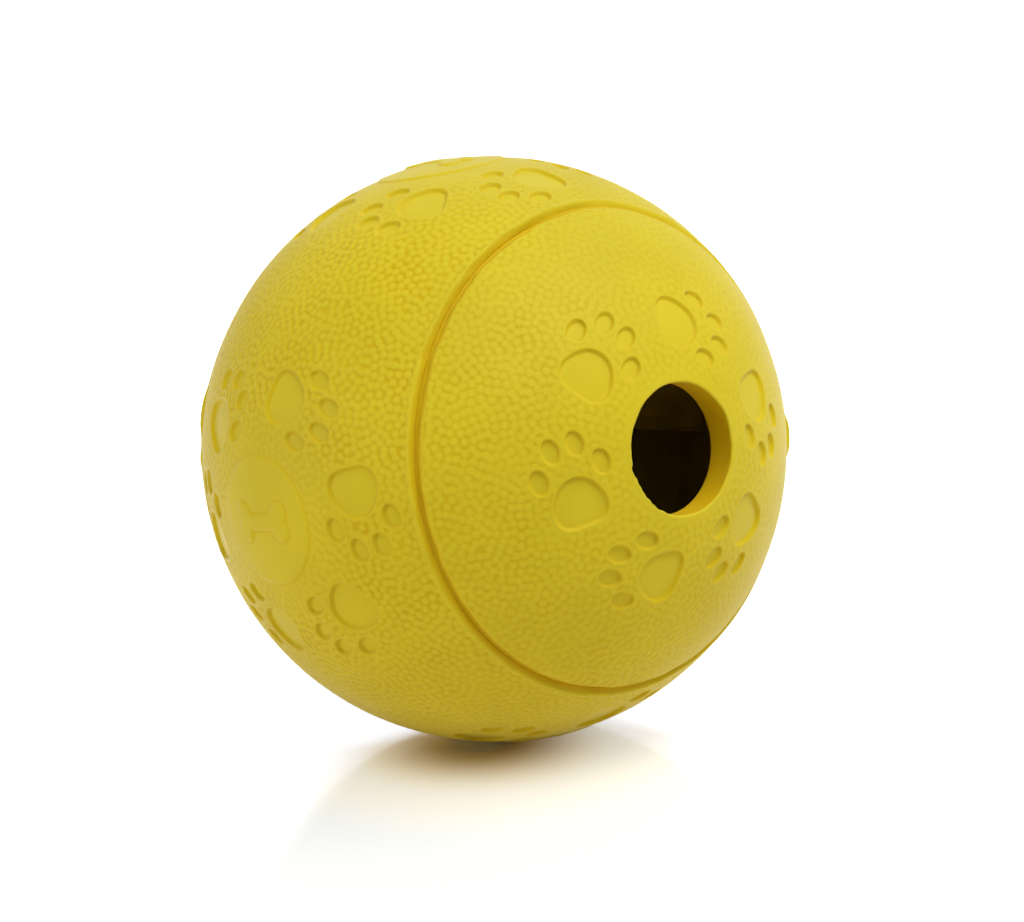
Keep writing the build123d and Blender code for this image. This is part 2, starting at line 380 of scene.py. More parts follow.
# %% Shape the seam
SEAM_ANGLE = radians(53.5)
SWAY_SIDE = np.array([0.5, 0.63, 0.59])  # the front seam lies a little further back here, and shallower
SWAY_FADE = (0.75, 1)  # where that starts and is complete, as the cosine of the angle from that side
SEAM_SWAY = 0.7
SWAY_SHALLOWER = 0.5
GROOVE_DEPTH = 0.95
GROOVE_RAMP = 1.3  # from the seam to the groove's edge on a cap
GROOVE_LINE = 0.2  # from the seam to the groove's deepest line, also on the cap
GROOVE_BANK = 0.85  # from the seam to the groove's edge on the band
GROOVE_FLOOR = 1.22  # above 1 the groove's bottom is flat
GROOVE_ROUNDING = 1.25  # above 1 the groove's edges are round
GROOVE_WAVE = 0.09
GROOVE_STRAIGHT = 0.5  # the wave grows to its full size within this distance from the seam
LIP_WIDTH = 0.5
LIP_RISE = 0.16
LIP_FALL = (-0.25, 0.05)  # where the lip's outer side starts and ends, from its edge
LIP_RAGGED = 0.13
LIP_FINE_SHARE = 0.6
FLASH_RISE = 0.12
FLASH_START = 0.9  # a faint flash stands where its ripple is higher than this
FLASH_STEEPNESS = 4
FLASHES = {  # side of the ball, turn round its axis, half the length, and the rise
    "right": (1, radians(-10.6), 3.3, 0.7),
    "left": (-1, radians(157.0), 3.3, 0.35),
    "left_low": (-1, radians(168.5), 1.3, 0.2),
}
LIP_RIPPLE = (2.4, 21)  # wavelength in mm, and seed
LIP_FINE_RIPPLE = (1.1, 22)
FLASH_RIPPLE = (9, 23)
GROOVE_RIPPLE = (5, 26)


def from_axis(outward):
    """Angle of each point from the nearer end of the hole's axis."""
    return np.arccos(np.clip(np.abs(outward[:, 2]), 0, 1))


def flash_rise(points):
    """Height of the thin flash that stands on the lip in a few places."""
    rise = FLASH_RISE * np.clip(ripple(points, *FLASH_RIPPLE) - FLASH_START, 0, None)
    for side, turned, half_length, most in FLASHES.values():
        reach = BALL_RADIUS * sin(SEAM_ANGLE)
        level = side * BALL_RADIUS * cos(SEAM_ANGLE)
        middle = np.array([reach * cos(turned), reach * sin(turned), level])
        away = np.linalg.norm(points - middle, axis=1) / half_length
        rise += most * np.exp(-(away**FLASH_STEEPNESS))
    return rise


def seam_height(outward):
    """Height of the groove, lip and flash, the share of lip, and the distance past the seam."""
    points = BALL_RADIUS * outward
    sway = soft_step(*SWAY_FADE, outward @ SWAY_SIDE)
    past_seam = (from_axis(outward) - SEAM_ANGLE) * BALL_RADIUS - SEAM_SWAY * sway
    wave = GROOVE_WAVE * ripple(points, *GROOVE_RIPPLE)
    wavy = past_seam + wave * soft_step(0, GROOVE_STRAIGHT, np.abs(past_seam))
    ramp = (wavy + GROOVE_RAMP) / (GROOVE_RAMP - GROOVE_LINE)
    bank = (GROOVE_BANK - wavy) / (GROOVE_BANK + GROOVE_LINE)
    groove = np.clip(GROOVE_FLOOR * np.minimum(ramp, bank), 0, 1) ** GROOVE_ROUNDING
    frayed = ripple(points, *LIP_RIPPLE) + LIP_FINE_SHARE * ripple(points, *LIP_FINE_RIPPLE)
    lip_end = GROOVE_BANK + LIP_WIDTH + LIP_RAGGED * frayed
    fall = soft_step(lip_end + LIP_FALL[0], lip_end + LIP_FALL[1], past_seam)
    lip = np.where(wavy > -GROOVE_LINE, 1 - fall, 0)
    depth = GROOVE_DEPTH * (1 - SWAY_SHALLOWER * sway)
    height = (LIP_RISE + flash_rise(points)) * lip * (1 - groove) - depth * groove
    return height, lip, past_seam


print(f"groove {GROOVE_RAMP + GROOVE_BANK:.2f} mm wide and {GROOVE_DEPTH} mm deep")

# %% [markdown]
# ## Where the grain is bold and where it fades
#
# A mould's grain is etched, and the parts that have to stay smooth are masked, so it runs out softly beside
# the prints, discs, seams and the hole. It is also made bolder on the left and low down, fainter on the right
# and a little uneven at random, and the same boldness sets how dark the painted shade in its furrows is. A
# texture with one strength all over would look printed on, so the grain's height is a product of all these
# shares.

# %% Set the strength of the grain
PAW_MARGIN = (0.05, 0.7)  # the grain starts and is complete at these distances from a print,
DISC_EDGE = (-0.1, 0.7)  # and at these from a disc's edge,
RAMP_EDGE = (-0.3, 0.4)  # and it fades out between these distances from the groove's edge on a cap
HOLE_MARGIN = (0.5, 2.2)
HOLE_GRAIN = 0.25  # share of the grain's height that is left at the hole
DISC_MARGIN = (1.0, 9.0)
DISC_GRAIN = 0.5  # and close to a disc
BOLD_SIDE = np.array([-0.88, 0.35, 0.32])  # the grain is boldest on this side
BOLD_FADE = (0.4, 1.0)
BOLDER = 0.7
FAINT_FADE = (0.2, -0.5)  # and faintest on the other
FAINTER = 0.4
LOW_FADE = (0.15, -0.6)
LOW_BAND = 0.2  # how much bolder it is low on the band
LOW_CAP = 0.4  # and low on the caps
CAP_GRAIN = 0.8  # height of the caps' grain, as a share of the band's
GRAIN_DRIFT = 0.15
GRAIN_RIPPLE = (9, 27)  # wavelength in mm, and seed


def grain_left(outward, paw, disc, lip, past_seam):
    """Share of the grain that is left beside smooth places."""
    hole_gap = (from_axis(outward) - asin(HOLE_RADIUS / BALL_RADIUS)) * BALL_RADIUS
    hole_gap = np.where(outward[:, 2] > 0, hole_gap, BALL_RADIUS)
    into_ramp = soft_step(RAMP_EDGE[0] - GROOVE_RAMP, RAMP_EDGE[1] - GROOVE_RAMP, past_seam)
    grain = soft_step(*PAW_MARGIN, paw) * soft_step(*DISC_EDGE, disc) * (1 - lip)
    grain *= np.where(past_seam > 0, 1, 1 - into_ramp)
    grain *= HOLE_GRAIN + (1 - HOLE_GRAIN) * soft_step(*HOLE_MARGIN, hole_gap)
    grain *= DISC_GRAIN + (1 - DISC_GRAIN) * soft_step(*DISC_MARGIN, disc)
    return grain


def grain_boldness(outward, on_band):
    """Height of the grain against its usual height, from place to place, which also scales the painted furrow
    shade.
    """
    facing = outward @ BOLD_SIDE
    bold = 1 + BOLDER * soft_step(*BOLD_FADE, facing) - FAINTER * soft_step(*FAINT_FADE, facing)
    low = soft_step(*LOW_FADE, outward[:, 1])
    bold *= np.where(on_band, 1 + LOW_BAND * low, CAP_GRAIN * (1 + LOW_CAP * low))
    bold *= 1 + GRAIN_DRIFT * ripple(BALL_RADIUS * outward, *GRAIN_RIPPLE)
    return bold


# %% [markdown]
# ## The height of the skin
#
# One function gives the height of the skin over a true sphere at any point. It adds up the slow unevenness of
# a moulding, the seam, the prints with their rims, the discs, the bones and the pebbles. It also says how much
# painted shade each point gets in a crease and in a furrow, and how plain it is, because the finish follows
# these.

# %% Add up the height of the skin
PAW_DEPTH = 0.53
PAW_WALL = (0.0, -0.28)  # where a print's wall starts and ends, from its edge
PAW_RIM = 0.02
PAW_RIM_WIDTH = 0.3
DISC_WALL = (0.15, -0.35)
BONE_WALL = (0.1, -0.5)
UNEVENNESS = 0.02
SLOW_RIPPLE = (17, 24)  # wavelength in mm, and seed
QUICK_RIPPLE = (6, 25)
QUICK_SHARE = 0.5
CREASE = 0.2  # half the width of the deep line at the foot of a wall
FOOT_PLACE = 0.1  # distance of that line from a disc or a bone
# The next three set painted shade: at the foot of walls, in the furrows between pebbles and down the groove.
FOOT_SHADE = 0.5
FURROW_SHADE_TINT = 0.26
GROOVE_SHADE = 0.85
GROOVE_SHADE_POWER = 0.45  # below 1 the tint reaches far up the groove's sides


def skin_height(outward):
    """Height of the skin over the sphere, and its shares of painted crease shade, painted furrow shade and
    plain place.
    """
    points = BALL_RADIUS * outward
    paw = nearest_paw(outward)
    disc, bone = nearest_disc(outward)
    seam, lip, past_seam = seam_height(outward)
    grain = grain_left(outward, paw, disc, lip, past_seam)
    bold = grain_boldness(outward, past_seam > 0)
    pebble = pebble_rise(outward, grain > 0)

    recess = soft_step(*PAW_WALL, paw)
    rim = PAW_RIM * np.exp(-(((paw - PAW_RIM_WIDTH) / PAW_RIM_WIDTH) ** 2)) * (1 - recess)
    raised = DISC_RISE * soft_step(*DISC_WALL, disc) + BONE_RISE * soft_step(*BONE_WALL, bone)
    slow = UNEVENNESS * (ripple(points, *SLOW_RIPPLE) + QUICK_SHARE * ripple(points, *QUICK_RIPPLE))
    height = seam - PAW_DEPTH * recess + rim + raised
    height += slow + grain * bold * PEBBLE_HEIGHT * (pebble - PEBBLE_SUNK)

    # Painted shade: a darker gold along the foot of every wall of a print, disc and bone, and down into the
    # groove.
    to_foot = np.abs([paw - PAW_WALL[1] / 2, disc - FOOT_PLACE, bone - FOOT_PLACE]).min(0)
    foot_shade = FOOT_SHADE * np.exp(-((to_foot / CREASE) ** 2))
    groove_shade = GROOVE_SHADE * np.clip(-seam / GROOVE_DEPTH, 0, 1) ** GROOVE_SHADE_POWER
    # Painted shade: the furrows between the pebbles get a darker gold where shade falls, more where the grain
    # is bold.
    furrow = np.clip(FURROW_SHADE_TINT * bold * grain * (1 - pebble), 0, 1)
    return height, np.maximum(groove_shade, foot_shade), furrow, 1 - grain


# %% [markdown]
# ## From rings to a mesh
#
# Each shell is a stack of rings about the hole's axis, like a pot on a wheel: along the skin, down into the
# seam, over its bonded step and back along the inside. The skin's rings are fine and the hidden ones coarse.
# Where a ring gets small, it drops to half as many points, so the faces stay about square.

# %% Define the rings
SKIN_STEP = 0.2
COLUMNS = 1344
COARSE_COLUMNS = 168
FEWEST_COLUMNS = 21
COLUMN_SLACK = 1.06  # a ring is halved while its faces stay narrower than this many steps


def ring(reach, height, columns):
    """Points of one ring, in the ball's axes."""
    around = np.arange(columns) * tau / columns
    return np.stack([reach * np.cos(around), reach * np.sin(around), np.full(columns, height)], 1)


def fine_columns(reach):
    """How many points keep a ring of the skin as fine as the rest."""
    columns = COLUMNS
    while columns > FEWEST_COLUMNS and tau * reach / (columns / 2) < COLUMN_SLACK * SKIN_STEP:
        columns //= 2
    return columns


def skin_rings(angles, side):
    """Rings on the sphere at angles from the hole's axis, on the hole's side or the other."""
    made = []
    for angle in angles:
        reach = BALL_RADIUS * sin(angle)
        made.append(ring(reach, side * BALL_RADIUS * cos(angle), fine_columns(reach)))
    return made


def spread(start, end, step):
    """Angles from start to end, about a step apart on the skin."""
    count = max(2, int(abs(end - start) * BALL_RADIUS / step) + 1)
    return np.linspace(start, end, count)


# %% [markdown]
# Two rings with as many points are joined by faces with four corners. Where the number halves, three
# triangles join every two steps of one ring to one step of the other, so no edge is left open.

# %% Stitch two rings
def stitch(lower, upper):
    """Faces between two rings of point numbers, where one may have half as many points."""
    if len(lower) == len(upper):
        after = np.roll(lower, -1), np.roll(upper, -1)
        return np.stack([lower, after[0], after[1], upper], 1).tolist()
    if len(lower) < len(upper):
        return [face[::-1] for face in stitch(upper, lower)]
    first, middle, last = lower[0::2], lower[1::2], np.roll(lower[0::2], -1)
    inner, inner_after = upper, np.roll(upper, -1)
    faces = [np.stack(corners, 1) for corners in (
        (first, middle, inner), (middle, last, inner_after), (middle, inner_after, inner))]
    return np.concatenate(faces).tolist()


# %% [markdown]
# Besides its shape, a shell carries a few values at each point that its finish needs: how much painted shade
# a crease or a furrow gets, how plain the skin is, and whether the point lies on the cut wall of the hole or
# inside the ball, where the finish paints bounce light and shade.

# %% Make a shell of rings
BORE_FADE = (0.1, 0.5)  # depth under the sphere at which the hole's wall starts and is complete


def shell(name, rings, skin, closed, finish, outside):
    """A mesh of stitched rings. The first ones, as many as skin, take the height of the skin, and the
    first ones, as many as outside, are seen from outside the ball."""
    starts = np.cumsum([0] + [len(points) for points in rings])
    numbers = [np.arange(start, end) for start, end in zip(starts, starts[1:])]
    points = np.concatenate(rings)
    chosen = np.concatenate(numbers[:skin])
    outward = points[chosen] / np.linalg.norm(points[chosen], axis=1, keepdims=True)
    height, deep, furrow, plain = skin_height(outward)
    points[chosen] += outward * height[:, None]
    faces = []
    for lower, upper in zip(numbers, numbers[1:]):
        faces += stitch(lower, upper)
    if closed:
        faces += stitch(numbers[-1], numbers[0])
    else:
        faces += [numbers[0][::-1].tolist(), numbers[-1].tolist()]
    mesh = bpy.data.meshes.new(name)
    mesh.from_pydata((points @ ball_axes * MM).tolist(), [], faces)
    mesh.shade_smooth()
    # The deep and furrow values carry painted shade, bore the painted bounce light of the hole's wall, inside
    # the painted shade of the hollow.
    masks = {label: np.zeros(len(points)) for label in ("deep", "furrow", "bore", "plain", "inside")}
    masks["bore"] += soft_step(*BORE_FADE, BALL_RADIUS - np.linalg.norm(points, axis=1))
    masks["plain"] += 1
    masks["deep"][chosen] = deep
    masks["furrow"][chosen] = furrow
    masks["bore"][chosen] = 0
    masks["plain"][chosen] = plain
    masks["inside"][starts[outside] :] = 1
    for label, values in masks.items():
        mesh.attributes.new(label, "FLOAT", "POINT").data.foreach_set("value", values)
    piece = bpy.data.objects.new(name, mesh)
    bpy.context.scene.collection.objects.link(piece)
    mesh.materials.append(finish)
    print(f"{name}: {len(points)} points, {len(faces)} faces")
    print(f"its skin lies from {height.min():.2f} to {height.max():.2f} mm over the sphere")
    return piece


# %% [markdown]
# ## Shader maths as Python
#
# A finish is a small graph of nodes. Wiring each node by hand hides the idea behind the wires, so two small
# classes do it: a socket that can be added and multiplied like a number, and a graph with one method that
# makes any node. Colours go through Mix nodes, because a Math node would turn them grey.

# %% Define the shader helpers
class Flow:
    """One output of a node graph. Arithmetic on it adds Math nodes."""

    def __init__(self, graph, socket):
        self.graph = graph
        self.socket = socket

    def math(self, operation, first, second):
        return self.graph.node("ShaderNodeMath", {"operation": operation}, {0: first, 1: second})

    def __add__(self, other):
        return self.math("ADD", self, other)

    def __sub__(self, other):
        return self.math("SUBTRACT", self, other)

    def __rsub__(self, other):
        return self.math("SUBTRACT", other, self)

    def __mul__(self, other):
        return self.math("MULTIPLY", self, other)

    __radd__ = __add__
    __rmul__ = __mul__


class Graph:
    """A tree of shader nodes."""

    def __init__(self, tree):
        self.tree = tree
        tree.nodes.clear()

    def node(self, kind, settings=None, sockets=None, out=0):
        """Make a node, with its settings first and then the values or links of its sockets."""
        made = self.tree.nodes.new(kind)
        for name, value in (settings or {}).items():
            setattr(made, name, value)
        for name, value in (sockets or {}).items():
            if isinstance(value, Flow):
                self.tree.links.new(value.socket, made.inputs[name])
            else:
                made.inputs[name].default_value = value
        return Flow(self, made.outputs[out]) if made.outputs else None

    def mix(self, share, first, second):
        """A colour between two colours, each from the graph or given as three parts."""
        first, second = (part if isinstance(part, Flow) else (*part, 1) for part in (first, second))
        return self.node("ShaderNodeMix", {"data_type": "RGBA"}, {0: share, 6: first, 7: second}, out=2)

    def fade(self, value, start, end):
        """0 to 1 as a value goes from start to end."""
        sockets = {"Value": value, "From Min": start, "From Max": end}
        return self.node("ShaderNodeMapRange", {"interpolation_type": "SMOOTHSTEP"}, sockets)

    def noise(self, place, size, detail=2.0, roughness=0.5):
        """Cloudy noise with patches of about a size, in millimetres."""
        sockets = {"Vector": place, "Scale": 1 / (size * MM), "Detail": detail, "Roughness": roughness}
        return self.node("ShaderNodeTexNoise", {}, sockets)

    def attribute(self, name):
        """A value that the mesh carries at its points."""
        return self.node("ShaderNodeAttribute", {"attribute_name": name}, out="Fac")

    def seen_ray(self):
        """1 for what the camera sees, directly or through something glossy or clear."""
        kinds = ("Is Camera Ray", "Is Glossy Ray", "Is Transmission Ray")
        return sum(self.node("ShaderNodeLightPath", out=kind) for kind in kinds)


def new_finish(name):
    """A material with an empty graph."""
    material = bpy.data.materials.new(name)
    material.use_nodes = True
    return material, Graph(material.node_tree)


# %% [markdown]
# ## The yellow rubber
#
# Natural rubber, coloured through with a strong yellow: silky, not shiny. The furrows between the pebbles and
# the creases get a darker gold as painted shade, the smooth prints and discs are a touch glossier, and the
# colour drifts slightly from place to place, with a few pale specks. The cut wall of the hole is painted a
# deeper gold as painted bounce light, and the inside a darker, paler yellow as painted shade. The mesh carries
# where the pebbles, creases and smooth places are, so the finish follows the shape. A very fine bump gives the
# dry, matt touch of rubber.

# %% Make the yellow rubber
DRIFT = (14.0, 3.0)  # size of the patches in mm, and detail
GRIT = (0.5, 3.0, 0.6)  # size of the grains in mm, detail and roughness
GRIT_MIDDLE = 0.5
DRIFT_FADE = (0.3, 0.7)
DRIFT_DARK = 0.94
SPECK_SPACING = 6.0
SPECK_EDGE = (0.018, 0.03)  # in spacings
SPECK_SHARE = 0.6
RUBBER_ROUGH = 0.45
GRIT_ROUGH = 0.1
PLAIN_GLOSS = 0.05
DEEP_ROUGH = 0.08
GRIT_BUMP = {"Strength": 0.25, "Distance": 0.02 * MM}
SILKY = {"IOR": 1.5, "Specular IOR Level": 0.08, "Sheen Weight": 0.04, "Sheen Roughness": 0.5}


def rubber(name, skin, furrow, crease_shade, bore, inner):
    """Moulded rubber with the colour of its skin, painted shade in its furrows, creases and inside, and
    painted bounce light on its bore.
    """
    material, graph = new_finish(name)
    place = graph.node("ShaderNodeTexCoord", out="Object")
    deep = graph.attribute("deep")
    drift = graph.noise(place, *DRIFT)
    grit = graph.noise(place, *GRIT)
    colour = graph.mix(graph.fade(drift, *DRIFT_FADE), skin, [DRIFT_DARK * part for part in skin])
    # Painted shade in the furrows and creases, and painted bounce light on the hole's wall.
    colour = graph.mix(graph.attribute("furrow"), colour, furrow)
    colour = graph.mix(deep, colour, crease_shade)
    colour = graph.mix(graph.attribute("bore"), colour, bore)
    sockets = {"Vector": place, "Scale": 1 / (SPECK_SPACING * MM)}
    speck = 1 - graph.fade(graph.node("ShaderNodeTexVoronoi", {}, sockets, out="Distance"), *SPECK_EDGE)
    colour = graph.mix(SPECK_SHARE * speck, colour, inner)
    # Painted shade: the hollow inside the ball takes a darker, paler yellow.
    colour = graph.mix(graph.attribute("inside"), colour, inner)
    rough = RUBBER_ROUGH + GRIT_ROUGH * (grit - GRIT_MIDDLE)
    rough = rough - PLAIN_GLOSS * graph.attribute("plain") + DEEP_ROUGH * deep
    matt = graph.node("ShaderNodeBump", {}, {**GRIT_BUMP, "Height": grit})
    sockets = {"Base Color": colour, "Roughness": rough, "Normal": matt, **SILKY}
    surface = graph.node("ShaderNodeBsdfPrincipled", {}, sockets)
    graph.node("ShaderNodeOutputMaterial", {}, {"Surface": surface})
    return material


SKIN_YELLOW = (0.715, 0.58, 0.024)
# Painted shade in the furrows between the pebbles.
FURROW_SHADE_YELLOW = (0.6, 0.405, 0.002)
# Painted shade in the creases at the foot of walls and in the groove.
CREASE_SHADE_GOLD = (0.67, 0.445, 0.002)
# Painted bounce light: the deeper gold of the hole's cut wall.
BORE_BOUNCE_GOLD = (0.76, 0.49, 0.003)
# Painted shade: the darker, paler yellow inside the ball, which the pale specks also use.
INNER_SHADE_AND_SPECK_YELLOW = (0.6, 0.49, 0.12)
yellows = (SKIN_YELLOW, FURROW_SHADE_YELLOW, CREASE_SHADE_GOLD, BORE_BOUNCE_GOLD, INNER_SHADE_AND_SPECK_YELLOW)
yellow_rubber = rubber("yellow_rubber", *yellows)
print("finish:", yellow_rubber.name, len(yellow_rubber.node_tree.nodes), "nodes")

# %% [markdown]
# ## The seam that all three shells share
#
# Under the open groove each cap ends in a step that drops into the band's mouth, where the rubber cement
# holds it. The corners are worked out once, so that the caps and the band leave the same thin film between
# them. Their skins meet at the bottom of the groove without a gap, so the film itself doesn't show.

# %% Work out the seam's corners
STEP_HEIGHT = 1.6
STEP_WIDTH = 2.0
SPIGOT_FLAT = 0.6
SEAM_STEP = 0.1  # the rings lie closer together beside the seam
SEAM_ZONE = 2.4
INSIDE_STEP = 2.0


def height_at(radius, reach):
    """Height of a sphere over its middle plane, at a reach from the axis."""
    return sqrt(radius**2 - reach**2)


flange_radius = (BALL_RADIUS - GROOVE_DEPTH) * sin(SEAM_ANGLE)
flange_foot = (BALL_RADIUS - GROOVE_DEPTH) * cos(SEAM_ANGLE) - STEP_HEIGHT
spigot_radius = flange_radius - STEP_WIDTH
inner_rim = spigot_radius - SPIGOT_FLAT
spigot_foot = height_at(INNER_RADIUS, inner_rim)
cap_step = [
    (flange_radius, flange_foot, COLUMNS // 2),
    (spigot_radius, flange_foot, COLUMNS // 4),
    (spigot_radius, spigot_foot, COARSE_COLUMNS),
    (inner_rim, spigot_foot, COARSE_COLUMNS),
]
seam_zone = SEAM_ZONE / BALL_RADIUS


def cap_angles(first):
    """Angles of a cap's skin rings, from the first one out to the seam."""
    zone = SEAM_ANGLE - seam_zone
    return np.concatenate([spread(first, zone, SKIN_STEP)[:-1], spread(zone, SEAM_ANGLE, SEAM_STEP)])


print(f"seam at {flange_radius:.2f} mm from the axis")

# %% [markdown]
# ## The front cap
#
# The dome round the treat hole. The hole's edge was trimmed after moulding, so it is softly rounded and a
# little ragged, with a few nicks. Its wall runs straight through to the hollow inside. The rings go from the
# seam up the skin to the hole, down its wall and back along the inside, so the shell closes on itself.

# %% Make the front cap
RIM_ROUNDING = 0.28
INNER_ROUNDING = 0.4
RIM_ARC_RINGS = 6
BORE_RINGS = 14
RIM_RAGGED = 0.07
RIM_NICK = 0.5
RIM_BLUR = 0.6  # how far from the edge the raggedness reaches
RIM_WORN = radians(218)  # the most worn stretch of the edge, below on the left
RIM_WORN_WIDTH = radians(34)
RIM_SOUND = 0.15  # wear of the rest of the edge, against that stretch
RIM_RIPPLE = (5.0, 31)  # wavelength in mm, and seed
NICK_RIPPLE = (2.2, 32)
RIM_FINE_RIPPLE = (1.5, 33)
NICK_START = 0.8  # a nick is where its ripple is higher than this
hole_columns = fine_columns(HOLE_RADIUS)
rim_reach = HOLE_RADIUS + RIM_ROUNDING
rim_height = height_at(BALL_RADIUS - RIM_ROUNDING, rim_reach)
lower_reach = HOLE_RADIUS + INNER_ROUNDING
lower_height = height_at(INNER_RADIUS + INNER_ROUNDING, lower_reach)


def corner_rings(reach, height, radius, start, end):
    """Rings round a rounded corner of the hole, between two directions."""
    directions = np.linspace(start, end, RIM_ARC_RINGS)
    return [ring(reach + radius * cos(a), height + radius * sin(a), hole_columns) for a in directions]


def ragged(points):
    """The points with those near the hole's edge moved in and out, as by a worn cutter."""
    edge = np.hypot(np.hypot(points[:, 0], points[:, 1]) - HOLE_RADIUS, points[:, 2] - rim_height)
    out = points[:, :2] / np.linalg.norm(points[:, :2], axis=1, keepdims=True)
    at_edge = np.column_stack([HOLE_RADIUS * out, np.zeros(len(points))])
    most_worn = np.array([cos(RIM_WORN), sin(RIM_WORN)])
    away = np.arccos(np.clip(out @ most_worn, -1, 1)) / RIM_WORN_WIDTH
    worn = RIM_SOUND + (1 - RIM_SOUND) * np.exp(-(away**2))
    move = RIM_RAGGED * (ripple(at_edge, *RIM_RIPPLE) + worn * ripple(at_edge, *RIM_FINE_RIPPLE))
    move += RIM_NICK * worn * np.clip(ripple(at_edge, *NICK_RIPPLE) - NICK_START, 0, None)
    points[:, :2] += out * (move * np.exp(-((edge / RIM_BLUR) ** 2)))[:, None]
    return points


skin = skin_rings(cap_angles(asin(rim_reach / (BALL_RADIUS - RIM_ROUNDING)))[::-1], 1)
edge = corner_rings(rim_reach, rim_height, RIM_ROUNDING, atan2(rim_height, rim_reach), pi)
bore_heights = np.linspace(rim_height, lower_height, BORE_RINGS)
bore = [ring(HOLE_RADIUS, height, hole_columns) for height in bore_heights]
last_direction = pi + atan2(lower_height, lower_reach)
lower_edge = corner_rings(lower_reach, lower_height, INNER_ROUNDING, pi, last_direction)
first_angle = asin(lower_reach / (INNER_RADIUS + INNER_ROUNDING))
inside_angles = spread(first_angle, asin(inner_rim / INNER_RADIUS), INSIDE_STEP)[1:-1]
inside = [ring(INNER_RADIUS * sin(a), INNER_RADIUS * cos(a), COARSE_COLUMNS) for a in inside_angles]
step = [ring(*corner) for corner in reversed(cap_step)]
trimmed = [ragged(points) for points in skin + edge[1:] + bore[1:-1] + lower_edge]
front_cap = shell("front_cap_skin", trimmed + inside + step, len(skin), True, yellow_rubber, len(trimmed))
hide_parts("front_cap")

# %% [markdown]
# ## The rear cap
#
# The same dome without a hole, with a disc and a bone at its middle. Its rings start at the pole, so the
# stack is open and both ends are closed with a small face.

# %% Make the rear cap
POLE_GAP = 0.25
skin = skin_rings(cap_angles(POLE_GAP / BALL_RADIUS), -1)
step = [ring(reach, -height, columns) for reach, height, columns in cap_step]
inside_angles = spread(asin(inner_rim / INNER_RADIUS), INSIDE_STEP / INNER_RADIUS, INSIDE_STEP)[1:]
inside = []
columns = COARSE_COLUMNS
for angle in inside_angles:
    reach = INNER_RADIUS * sin(angle)
    if tau * reach / columns < INSIDE_STEP / 2 and columns > FEWEST_COLUMNS:
        columns //= 2
    inside.append(ring(reach, -INNER_RADIUS * cos(angle), columns))
rear_cap = shell("rear_cap_skin", skin + step + inside, len(skin), False, yellow_rubber, len(skin))
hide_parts("rear_cap")

# %% [markdown]
# ## The middle band
#
# The wide ring between the seams, with four of the discs. On its inside a slot takes the edge of the inner
# wall; it runs only where the wall is. The rings go up the skin from the rear seam to the front one, over the
# front mouth, back along the inside and over the rear mouth.

# %% Make the middle band
SLOT_DEPTH = 1.4
CEMENT = 0.1  # film of rubber cement under the seams and in the slot
INNER_WALL_TURN = radians(15.4)
INNER_WALL_EDGE = 4.0
INNER_WALL_FORWARD = 1.5
INNER_WALL_THICKNESS = 5.0
mouth_radius = spigot_radius + CEMENT
mouth_height = height_at(INNER_RADIUS, mouth_radius)
band_step = [
    (flange_radius + CEMENT, flange_foot - CEMENT, COLUMNS // 2),
    (mouth_radius, flange_foot - CEMENT, COLUMNS // 4),
    (mouth_radius, mouth_height, COARSE_COLUMNS),
]
wall_across = np.array([sin(INNER_WALL_TURN), cos(INNER_WALL_TURN), 0])


def slot_ring(height):
    """A ring of the inside that steps out into the slot where the inner wall is."""
    points = ring(height_at(INNER_RADIUS, height), height, COARSE_COLUMNS)
    deep = ring(INNER_RADIUS + SLOT_DEPTH, height, COARSE_COLUMNS)
    in_slot = points @ wall_across > INNER_WALL_EDGE - CEMENT
    return np.where(in_slot[:, None], deep, points)


def inside_rings(start, end):
    """Rings of the band's inside between two heights."""
    heights = np.linspace(start, end, max(2, int(abs(end - start) / INSIDE_STEP) + 1))
    return [ring(height_at(INNER_RADIUS, height), height, COARSE_COLUMNS) for height in heights]


zone = SEAM_ANGLE + seam_zone
front_angles = np.concatenate([spread(pi / 2, zone, SKIN_STEP)[:-1], spread(zone, SEAM_ANGLE, SEAM_STEP)])
band_angles = np.concatenate([pi - front_angles[::-1], front_angles[1:]])
skin = [ring(BALL_RADIUS * sin(angle), BALL_RADIUS * cos(angle), COLUMNS) for angle in band_angles]
slot_top = INNER_WALL_FORWARD + INNER_WALL_THICKNESS / 2 + CEMENT
slot_foot = INNER_WALL_FORWARD - INNER_WALL_THICKNESS / 2 - CEMENT
inside = inside_rings(mouth_height, slot_top)[1:] + [slot_ring(slot_top), slot_ring(slot_foot)]
inside += inside_rings(slot_foot, -mouth_height)[:-1]
front_step = [ring(*corner) for corner in band_step]
rear_step = [ring(reach, -height, columns) for reach, height, columns in reversed(band_step)]
rings = skin + front_step + inside + rear_step
middle_band = shell("middle_band_skin", rings, len(skin), True, yellow_rubber, len(skin))
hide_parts("middle_band")

# %% [markdown]
# Nothing on this ball moves: the bonded pieces roll as one. So every shell rides on the same body.

# %% Fix the shells to the ball
for piece in (front_cap, middle_band, rear_cap):
    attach(piece, "root")
    print(piece.name, "rides on root")

# %% [markdown]
# ## The inner wall
#
# A flat plate across the ball that shows through the hole. Its solid already has the right shape, so it
# stays, and only gets a finish: the same rubber, but dull, since nothing polishes it, and painted paler and
# brighter than the skin as painted light, since little light finds its way in through the hole.

# %% Finish the inner wall
WALL_DRIFT = (6.0, 4.0)  # size of the patches in mm, and detail
WALL_GRIT = (0.7, 3.0)
WALL_DARK = 0.8
WALL_ROUGH = 0.6
WALL_DRIFT_ROUGH = 0.1
WALL_BUMP = {"Strength": 0.3, "Distance": 0.05 * MM}


